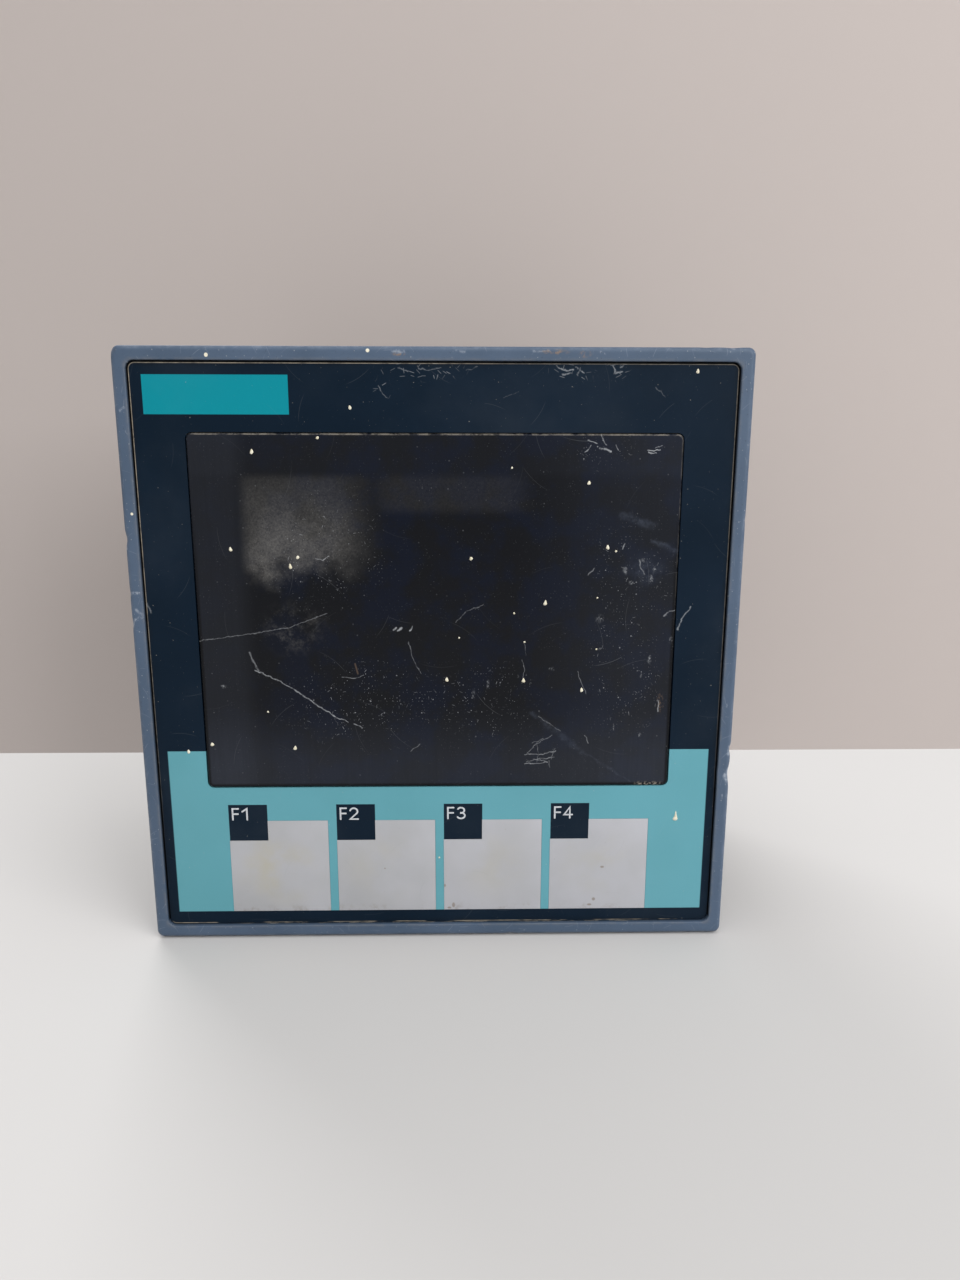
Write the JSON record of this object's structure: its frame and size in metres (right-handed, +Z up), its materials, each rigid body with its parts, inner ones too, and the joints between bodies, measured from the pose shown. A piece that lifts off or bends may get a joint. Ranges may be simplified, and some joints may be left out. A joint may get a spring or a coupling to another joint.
{
  "type": "panel operator unit",
  "caption": "Square flush-mounting operator unit: dark display window in a printed overlay above a row of membrane function keys, grey frame, terminal housing behind.",
  "frame": {"origin": "under the middle of the unit's box, level with the bezel's lower edge", "axes": "+Z up, +Y from the front towards the rear, +X to the right seen from the front"},
  "size_m": [0.096, 0.056, 0.096],
  "materials": {
    "bezel": "fine satin moulding",
    "overlay": "satin printed foil",
    "window": "smoked, glossy",
    "gasket": "matt",
    "key": "satin printed foil",
    "plunger": "moulded",
    "stem": "moulded",
    "switch": "moulded",
    "sheet_steel": "plain sheet",
    "display_glass": "dark, polished",
    "backlight": "white",
    "board": "solder resist",
    "ring": "potted",
    "bar": "bare copper",
    "core": "laminated",
    "can": "drawn",
    "link": "moulded",
    "housing": "fine eroded moulding",
    "cover": "fine eroded moulding",
    "terminal": "moulded",
    "screw": "nickel plated",
    "jack": "tinned sheet",
    "plug": "moulded"
  },
  "bodies": {
    "unit": {"front_bezel": "bezel", "front_overlay": "overlay", "display_window": "window", "panel_gasket": "gasket", "switch_body_1": "switch", "switch_body_2": "switch", "switch_body_3": "switch", "switch_body_4": "switch", "module_frame": "sheet_steel", "module_glass": "display_glass", "module_backlight": "backlight", "display_board": "board", "terminal_board": "board", "current_transformer_1": "ring", "current_transformer_2": "ring", "current_transformer_3": "ring", "current_bar_1": "bar", "current_bar_2": "bar", "current_bar_3": "bar", "supply_transformer": "core", "capacitor_1": "can", "capacitor_2": "can", "board_link": "link", "rear_housing": "housing", "module_slot_cover": "cover", "current_terminal_block": "terminal", "voltage_terminal_block": "terminal", "supply_terminal_block": "terminal", "current_terminal_screw_1": "screw", "current_terminal_screw_2": "screw", "current_terminal_screw_3": "screw", "current_terminal_screw_4": "screw", "current_terminal_screw_5": "screw", "current_terminal_screw_6": "screw", "voltage_terminal_screw_1": "screw", "voltage_terminal_screw_2": "screw", "voltage_terminal_screw_3": "screw", "voltage_terminal_screw_4": "screw", "supply_terminal_screw_1": "screw", "supply_terminal_screw_2": "screw", "network_jack": "jack", "signal_header": "link", "signal_plug": "plug"},
    "key_1": {"key_pad_1": "key", "key_plunger_1": "plunger", "switch_stem_1": "stem"},
    "key_2": {"key_pad_2": "key", "key_plunger_2": "plunger", "switch_stem_2": "stem"},
    "key_3": {"key_pad_3": "key", "key_plunger_3": "plunger", "switch_stem_3": "stem"},
    "key_4": {"key_pad_4": "key", "key_plunger_4": "plunger", "switch_stem_4": "stem"}
  },
  "joints": [
    {"name": "key_1_press", "type": "slide", "parent": "unit", "child": "key_1", "axis": [0, 1, 0], "range_m": [0, 0.0004], "stiffness_N_per_m": 4000},
    {"name": "key_2_press", "type": "slide", "parent": "unit", "child": "key_2", "axis": [0, 1, 0], "range_m": [0, 0.0004], "stiffness_N_per_m": 4000},
    {"name": "key_3_press", "type": "slide", "parent": "unit", "child": "key_3", "axis": [0, 1, 0], "range_m": [0, 0.0004], "stiffness_N_per_m": 4000},
    {"name": "key_4_press", "type": "slide", "parent": "unit", "child": "key_4", "axis": [0, 1, 0], "range_m": [0, 0.0004], "stiffness_N_per_m": 4000}
  ]
}
